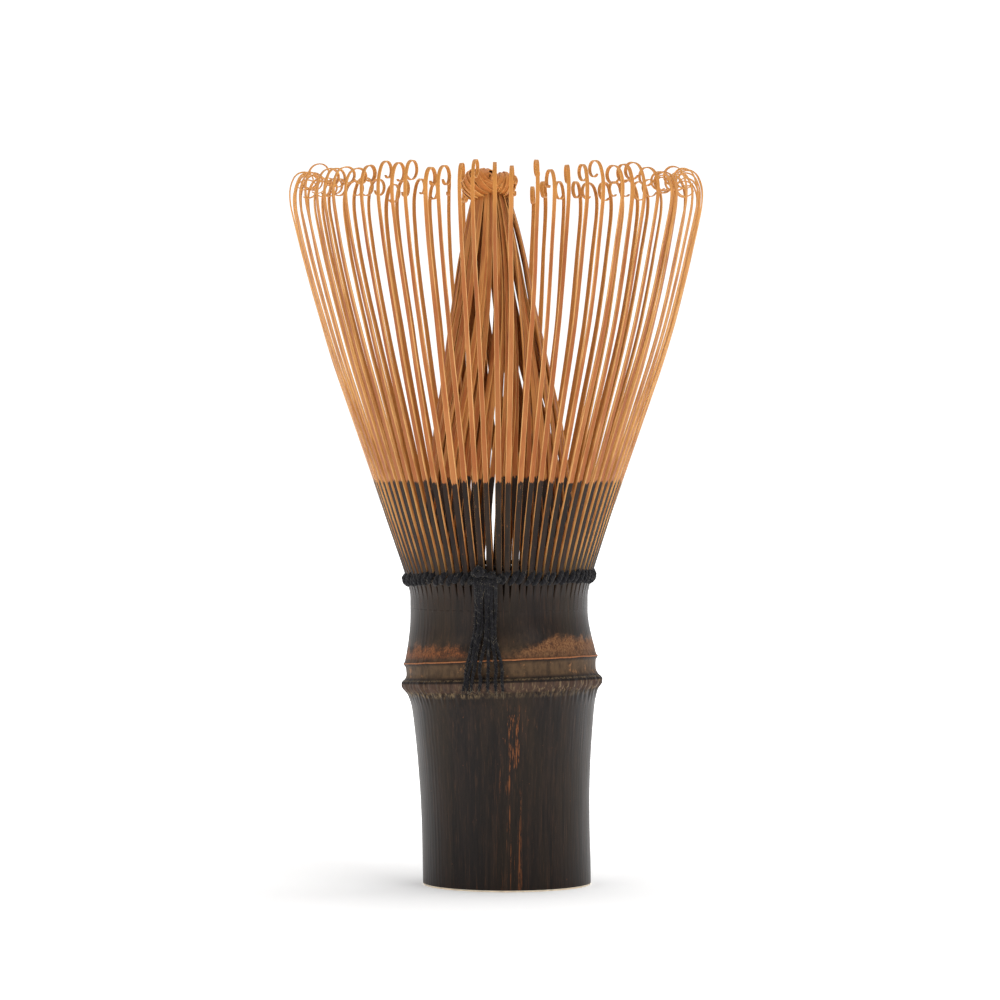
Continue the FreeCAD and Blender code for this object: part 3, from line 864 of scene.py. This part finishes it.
# ---- head ----
def wind(cloth, centre, size, pole, aways, rng):
    """Bamboo tips wound in rings round a pole over an ellipsoid, each with its ends tucked in."""
    pole = unit(np.array(pole))
    side = unit(np.cross(pole, (0, 0, 1)))
    other = np.cross(pole, side)
    steps = 48
    for away in aways:
        start = rng.uniform(0.0, 2 * math.pi)
        beta = np.linspace(start, start + math.radians(rng.uniform(220, 310)), steps)
        drift = math.radians(away) + 0.13 * (beta - beta.mean()) / 2 + 0.05 * wander(rng, beta, 2, 6.3)
        ball = np.cos(drift)[:, None] * pole
        ball = ball + np.sin(drift)[:, None] * (np.cos(beta)[:, None] * side + np.sin(beta)[:, None] * other)
        ends = smooth(0, 6, np.arange(steps)) * smooth(steps - 1, steps - 7, np.arange(steps))
        normal = unit(ball / size)
        path = centre + ball * size * rng.uniform(0.95, 1.0) - normal * 0.7 * (1 - ends)[:, None]
        tangent = unit(np.gradient(path, axis=0))
        across = unit(np.cross(normal, tangent))
        out = np.cross(tangent, across)
        across, out = spin(across, out, np.full(steps, rng.normal(0.24, 0.07)))
        width = rng.uniform(0.40, 0.60) * (0.55 + 0.45 * ends)
        run = np.linspace(0, 18, steps)
        add_strip(cloth, path, across, out, (width, width, np.full(steps, 0.10)), run, float(rng.uniform()))


def make_head():
    """The inner tips wound together: a main lump, and a smaller one folded over beside it."""
    rng = draws(5)
    cloth = Cloth("inner_tips_wound")
    main, main_size = HEAD_CENTRE + (-1.15, -0.2, 0.4), np.array([3.15, 3.4, 2.6])
    lobe, lobe_size = HEAD_CENTRE + (2.4, -0.3, 0.5), np.array([2.1, 2.9, 2.0])
    for centre, size, pole, aways in (
        (lobe, lobe_size * 0.72, (-0.5, -0.8, -0.1), range(20, 160, 22)),
        (lobe, lobe_size * 0.9, (-0.85, -0.3, 0.3), range(20, 160, 20)),
        (lobe, lobe_size, (-0.80, -0.52, 0.15), range(22, 152, 17)),
        (main, main_size * 0.65, (-0.3, -0.6, 0.7), range(12, 170, 18)),
        (main, main_size * 0.86, (0.7, -0.2, 0.6), range(8, 172, 15)),
        (main, main_size, (0.62, -0.42, 0.66), range(10, 170, 12)),
    ):
        wind(cloth, centre, size, pole, aways, rng)
    settle(cloth.make(HEAD_WOOD), "inner_tip_twist")


# ---- thread ----
RING_SLANT = 0.021  # rise per mm towards +X
RING_FRONT = 0.020  # rise per mm towards the front
WRAP_RADIUS = 14.02
WRAP_REACH = 0.80  # how far a wrap goes in front of and behind a tine
WRAP_RISE = 0.84
WRAP_Z = THREAD_Z + 0.12
THREAD = 1.02  # diameter of a wrap
INNER_THREAD = 0.72
KNOT_THREAD = 0.74
TAIL_THREAD = 0.56
KNOT_FACE = -16.1  # y of the knot's front
KNOT_FOOT = KNOT_CENTRE[2] - 0.6
TAIL_SPACING = 0.52
TAIL_SHORT = 1.3  # how far above its solid's foot a thread end stops, before it frays


def round_path(path, side, other, radius, angle):
    """Rings round a path: radius away from it at each angle from side towards other."""
    around = side[:, None] * np.cos(angle)[:, None] + other[:, None] * np.sin(angle)[:, None]
    return path[:, None] + radius[..., None] * around


def twisted_tube(cloth, path, diameter, plies, pitch, rng, closed=False, around=16, taper=0.0, flat=1.0):
    """A thread of twisted plies along a path. flat squeezes it at each station, level with the ground."""
    tangent = np.roll(path, -1, 0) - np.roll(path, 1, 0) if closed else np.gradient(path, axis=0)
    tangent = unit(tangent)
    hint = np.where(np.abs(tangent[:, 2:]) > 0.8, np.array([[0.0, -1.0, 0.0]]), np.array([[0.0, 0.0, 1.0]]))
    side = unit(hint - tangent * np.sum(hint * tangent, 1, keepdims=True))
    for i in range(1, len(side)):
        side[i] = side[i - 1] - tangent[i] * np.dot(side[i - 1], tangent[i])
        side[i] /= np.linalg.norm(side[i])
    other = np.cross(tangent, side)
    steps = np.linalg.norm(np.diff(path, axis=0), axis=1)
    run = np.concatenate([[0], np.cumsum(steps)])
    angle = circle(around)
    twist = angle + 2 * math.pi * run[:, None] / pitch
    lobes = np.abs(np.cos(plies / 2 * twist))
    uneven = 1 + 0.06 * wander(rng, run, 5, run[-1]) + 0.06 * rng.normal(size=len(run))
    radius = diameter / 2 * (0.72 + 0.28 * lobes) * uneven[:, None]
    other = other * np.broadcast_to(flat, run.shape)[:, None]
    if taper:
        radius = radius * (1 - taper * smooth(run[-1] - 0.8, run[-1], run))[:, None]
    rings = round_path(path, side, other, radius, angle)
    grain = polar(diameter / 2, twist, run[:, None]) + 60 * rng.uniform()
    cloth.sweep(rings[:, ::-1], grain[:, ::-1], closed=closed)


def add_fuzz(cloth, paths, diameter, per_mm, length, rng):
    """Loose cotton hairs that stand out of the threads."""
    for path in paths:
        steps = np.linalg.norm(np.diff(path, axis=0), axis=1)
        for _ in range(int(steps.sum() * per_mm)):
            i = int(rng.integers(1, len(path) - 1))
            tangent = unit(path[i + 1] - path[i - 1])
            away = rng.normal(size=3)
            away = unit(away - tangent * np.dot(away, tangent))
            size = length * rng.uniform(0.4, 1.3)
            t = np.linspace(0, 1, 6)[:, None]
            lean = tangent * rng.normal(0, 0.9)
            bow = unit(np.cross(away, tangent)) * rng.normal(0, 0.5)
            root = path[i] + away * diameter * 0.36
            hair = root + size * (away * (t * 0.75 - t**2 * 0.25) + lean * t**2 * 0.8 + bow * t**2)
            thin_hair(cloth, hair, 0.016 * rng.uniform(0.8, 1.6), rng)


def thin_hair(cloth, path, radius, rng):
    tangent = unit(np.gradient(path, axis=0))
    side = unit(np.cross(tangent, rng.normal(size=3)))
    other = np.cross(tangent, side)
    size = radius * np.linspace(1, 0.35, len(path))[:, None]
    rings = round_path(path, side, other, size, np.array([4.19, 2.09, 0.0]))
    cloth.sweep(rings, rings * 3.0, (1.0, 0.0, rng.uniform()))


def ring_height(direction, radius):
    return WRAP_Z + radius * (RING_SLANT * np.cos(direction) - RING_FRONT * np.sin(direction))


def wrap_paths():
    """Two threads twined about each other, so that one passes in front of each tine and one behind."""
    direction = -math.pi / 2 + circle(TINES * 16)
    half_turns = TINES / 2 * (direction + math.pi / 2)
    rng = draws(6)
    slack = 0.78 + 0.22 * smooth(-4, 4, WRAP_RADIUS * np.cos(direction))  # looser and flatter on the left
    paths, flats = [], []
    for phase in (0.0, math.pi):
        turn = half_turns + phase + 0.10 * wander(rng, direction, 30, 2 * math.pi)
        lumps = rng.normal(0, 1, TINES + 1)
        lumps[-1] = lumps[0]
        lump = np.interp((direction + math.pi / 2) / PITCH, np.arange(TINES + 1), lumps)
        reach = np.sign(np.cos(turn)) * np.abs(np.cos(turn)) ** 0.5
        radius = WRAP_RADIUS + COLLAR_OFFSET * np.cos(direction) + WRAP_REACH * reach + 0.08 * lump
        z = ring_height(direction, radius) + WRAP_RISE * slack * np.sin(turn) + 0.14 * lump
        z = z + 0.05 * wander(rng, direction, 9, 2 * math.pi)
        paths.append(polar(radius, direction, z))
        flats.append(0.78 + 0.22 * np.cos(turn))
    return paths, flats


def make_wraps():
    rng = draws(7)
    cloth = Cloth("thread_wraps")
    paths, flats = wrap_paths()
    for path, flat in zip(paths, flats):
        twisted_tube(cloth, path, THREAD, 3, 1.3, rng, closed=True, flat=flat)
    add_fuzz(cloth, paths, THREAD, 7.0, 0.5, rng)
    settle(cloth.make(COTTON), "thread_ring_outer")


def make_inner_turn():
    rng = draws(8)
    cloth = Cloth("thread_inner_turn")
    low, high = box_mm("thread_ring_inner")
    direction = circle(500)
    z = (low[2] + high[2]) / 2 + 0.08 * wander(rng, direction, 9, 2 * math.pi)
    path = polar((high[1] - low[1]) / 2 - 0.42 + 0.06 * np.cos(TINES * direction), direction, z)
    twisted_tube(cloth, path, INNER_THREAD, 3, 1.5, rng, closed=True)
    add_fuzz(cloth, [path], INNER_THREAD, 1.0, 0.5, rng)
    settle(cloth.make(COTTON), "thread_ring_inner")


def curve_through(points, count):
    """A smooth curve through a few points."""
    points = np.array(points, float)
    ends = np.concatenate([[2 * points[0] - points[1]], points, [2 * points[-1] - points[-2]]])
    t = np.linspace(0, len(points) - 1, count)
    k = np.minimum(t.astype(int), len(points) - 2)
    f = (t - k)[:, None]
    a, b, c, d = ends[k], ends[k + 1], ends[k + 2], ends[k + 3]
    return 0.5 * (2 * b + (c - a) * f + (2 * a - 5 * b + 4 * c - d) * f**2 + (3 * b - a - 3 * c + d) * f**3)


def make_knot():
    """The two ends brought over the wraps and tied: upright loops, a lump at the left and a turn across."""
    rng = draws(9)
    cloth = Cloth("thread_knot_tied")
    centre = np.array([KNOT_CENTRE[0], KNOT_FACE, KNOT_CENTRE[2] + 0.3])
    paths = []
    for x, rise in ((-1.15, 1.75), (-0.6, 1.6), (-0.05, 1.3), (0.5, 1.15), (1.05, 0.9)):
        lean = rng.normal(0, 0.35)
        steps = [
            (x - lean, 1.6, rise - 0.6),
            (x - lean * 0.6, 0.3, rise + rng.normal(0, 0.12)),
            (x, -0.5 + rng.normal(0, 0.12), 0.5),
            (x + lean * 0.5, -0.5 + rng.normal(0, 0.12), -0.9),
            (x + lean, 0.9, -1.9),
        ]
        paths.append(curve_through(centre + steps, 40))
    turn = np.linspace(-0.6, 6.6, 44)[:, None]
    coil = np.cos(turn) * [0.95, -0.5, 0.1] + np.sin(turn) * [0.1, 0.35, 1.0]
    paths.append(centre + (-1.2, -0.55, 1.2) + 0.52 * coil + turn * [0.03, -0.05, 0])
    for start, middle, end in ((0.9, 0.75, -0.05), (-0.5, -0.35, -0.15)):
        steps = [
            (-2.0, 0.9, start),
            (-1.0, -0.75, (start + middle) / 2),
            (0.1, -1.0, middle),
            (1.2, -0.6, (middle + end) / 2),
            (2.2, 0.9, end),
        ]
        paths.append(curve_through(centre + steps, 40))
    for path in paths:
        twisted_tube(cloth, path, KNOT_THREAD, 3, 1.2, rng)
    add_fuzz(cloth, paths, KNOT_THREAD, 14.0, 0.55, rng)
    settle(cloth.make(COTTON), "thread_knot")


def culm_front(x, z):
    """The y of the culm's front face at x and height z."""
    level = z - float(lookup(SLANT_RIGHT, z)) * x - float(lookup(SLANT_FRONT, z)) * 15.0
    radius = float(culm_radius(np.array([level]))[0])
    return -math.sqrt(radius**2 - (x - float(lookup(CULM_CENTRE, z))) ** 2)


def make_tails():
    """The thread's ends: side by side under the knot, apart on the node rings."""
    rng = draws(10)
    for index in range(TAILS):
        low, high = box_mm(f"thread_tail_{index + 1}")
        end_x = low[0] + 0.3 if index < TAILS / 2 + 1 else high[0] - 0.3
        top_x = KNOT_CENTRE[0] + (index - (TAILS - 1) / 2) * TAIL_SPACING
        cloth = Cloth(f"thread_end_{index + 1}")
        points = [(top_x, KNOT_FACE - 0.4, KNOT_CENTRE[2] + 0.6)]
        points.append((top_x, KNOT_FACE - 0.75 + 0.3 * (index % 2), KNOT_FOOT))
        for share in (0.22, 0.4, 0.55, 0.68, 0.8, 0.9, 1.0):
            z = KNOT_FOOT + (low[2] + TAIL_SHORT - KNOT_FOOT) * share
            fan = float(smooth(0.35, 1.05, share))
            x = top_x + (end_x - top_x) * fan + rng.normal(0, 0.10) * (share < 1)
            lift = 0.34 + 0.22 * (index % 2) * (1 - fan) + 0.25 * float(smooth(0.75, 0.35, share))
            points.append((x, culm_front(x, z) - lift, z))
        path = curve_through(points, 110)
        twisted_tube(cloth, path, TAIL_THREAD, 2, 1.1, rng, taper=0.35)
        add_fuzz(cloth, [path], TAIL_THREAD, 9.0, 0.6, rng)
        fray(cloth, path, rng)
        settle(cloth.make(COTTON), f"thread_tail_{index + 1}")


def fray(cloth, path, rng):
    """The cut end of a thread opened into hairs."""
    heading = unit(path[-1] - path[-6])
    for _ in range(26):
        spread = rng.normal(0, 0.28, 3)
        t = np.linspace(0, 1, 6)[:, None]
        start = path[-6] + rng.normal(0, 0.09, 3)
        hair = start + (heading + spread * t) * t * rng.uniform(0.7, 1.3)
        thin_hair(cloth, hair, 0.022, rng)


# ---- studio ----
CAMERA_DISTANCE = 0.700
CAMERA_HEIGHT = 0.0738
FRAME_HEIGHT = 0.1572  # what the picture takes in at the whisk, top to bottom
AIM = (0.0005, 0.0, 0.0604)
SENSOR = 36.0
LIGHTS = (  # (name, place, size in metres, watts)
    ("key_right", (0.75, -0.85, 0.75), 0.9, 6.1),
    ("fill_left", (-0.85, -0.75, 0.45), 0.8, 3.6),
    ("top", (0.15, 0.1, 1.3), 0.8, 6.5),
)
LIGHTS_AIM = (0, 0, 0.06)
FLOOR_RADIUS = 3.0
WORLD_FRONT = 0.13
WORLD_BACK = 0.95
WHITE = (1.0, 1.0, 1.0, 1.0)


def make_camera():
    data = bpy.data.cameras.new("camera")
    data.sensor_width = SENSOR
    data.lens = SENSOR * CAMERA_DISTANCE / FRAME_HEIGHT
    data.clip_start = 0.01
    data.clip_end = 50
    camera = add_object("camera", data)
    camera.location = (AIM[0], -CAMERA_DISTANCE, CAMERA_HEIGHT)
    down = math.atan2(CAMERA_HEIGHT - AIM[2], CAMERA_DISTANCE)
    camera.rotation_euler = (math.pi / 2 - down, 0, 0)
    bpy.context.scene.camera = camera


def make_floor():
    """Paper under the whisk that shades to an evenly lit white, so there is no horizon."""
    turns = circle(96)
    mesh = bpy.data.meshes.new("studio_floor")
    mesh.from_pydata(polar(FLOOR_RADIUS, turns, 0.0).tolist(), [], [range(len(turns))])
    s = new_material("studio_paper")
    place = s.node("TexCoord").outputs["Object"]
    paper = s.noise(place, (400.0, 400.0, 400.0), 2.0)
    far = s.node("VectorMath", [place], operation="LENGTH").outputs["Value"]
    s.principled(Base_Color=s.mix(paper, srgb(249, 249, 249), srgb(252, 252, 252)), Roughness=0.9)
    s.principled(Specular_IOR_Level=0.0, Emission_Color=WHITE)
    s.principled(Emission_Strength=s.step(far, 0.045, 0.12, 0.15, 1.0))
    mesh.materials.append(s.owner)
    add_object("studio_floor", mesh)


def make_light(name, place, size, power):
    data = bpy.data.lights.new(name, "AREA")
    data.size = size
    data.energy = power
    light = add_object(name, data)
    light.location = place
    light.rotation_mode = "QUATERNION"
    light.rotation_quaternion = (Vector(LIGHTS_AIM) - Vector(place)).to_track_quat("-Z", "Y")


def make_world():
    """White all round to look at; as a light it is bright behind the whisk and dim in front of it."""
    s = Shader(bpy.data.worlds.new("studio"), "OutputWorld")
    backwards = s.parts(s.node("TexCoord").outputs["Generated"])[1]
    lit = s.node("Background", [WHITE, s.step(backwards, -0.5, 0.7, WORLD_FRONT, WORLD_BACK)])
    seen = s.node("Background", [WHITE, 1.1])
    looking = s.node("LightPath").outputs["Is Camera Ray"]
    choose = s.node("MixShader", [looking, lit.outputs[0], seen.outputs[0]])
    s.put(s.output.inputs[0], choose.outputs[0])
    bpy.context.scene.world = s.owner


def make_studio():
    make_camera()
    make_floor()
    make_world()
    for light in LIGHTS:
        make_light(*light)
    view = bpy.context.scene.view_settings
    view.view_transform, view.look = "Standard", "None"


make_studio()
make_handle()
make_outer_tines()
make_inner_tines()
make_head()
make_wraps()
make_inner_turn()
make_knot()
make_tails()
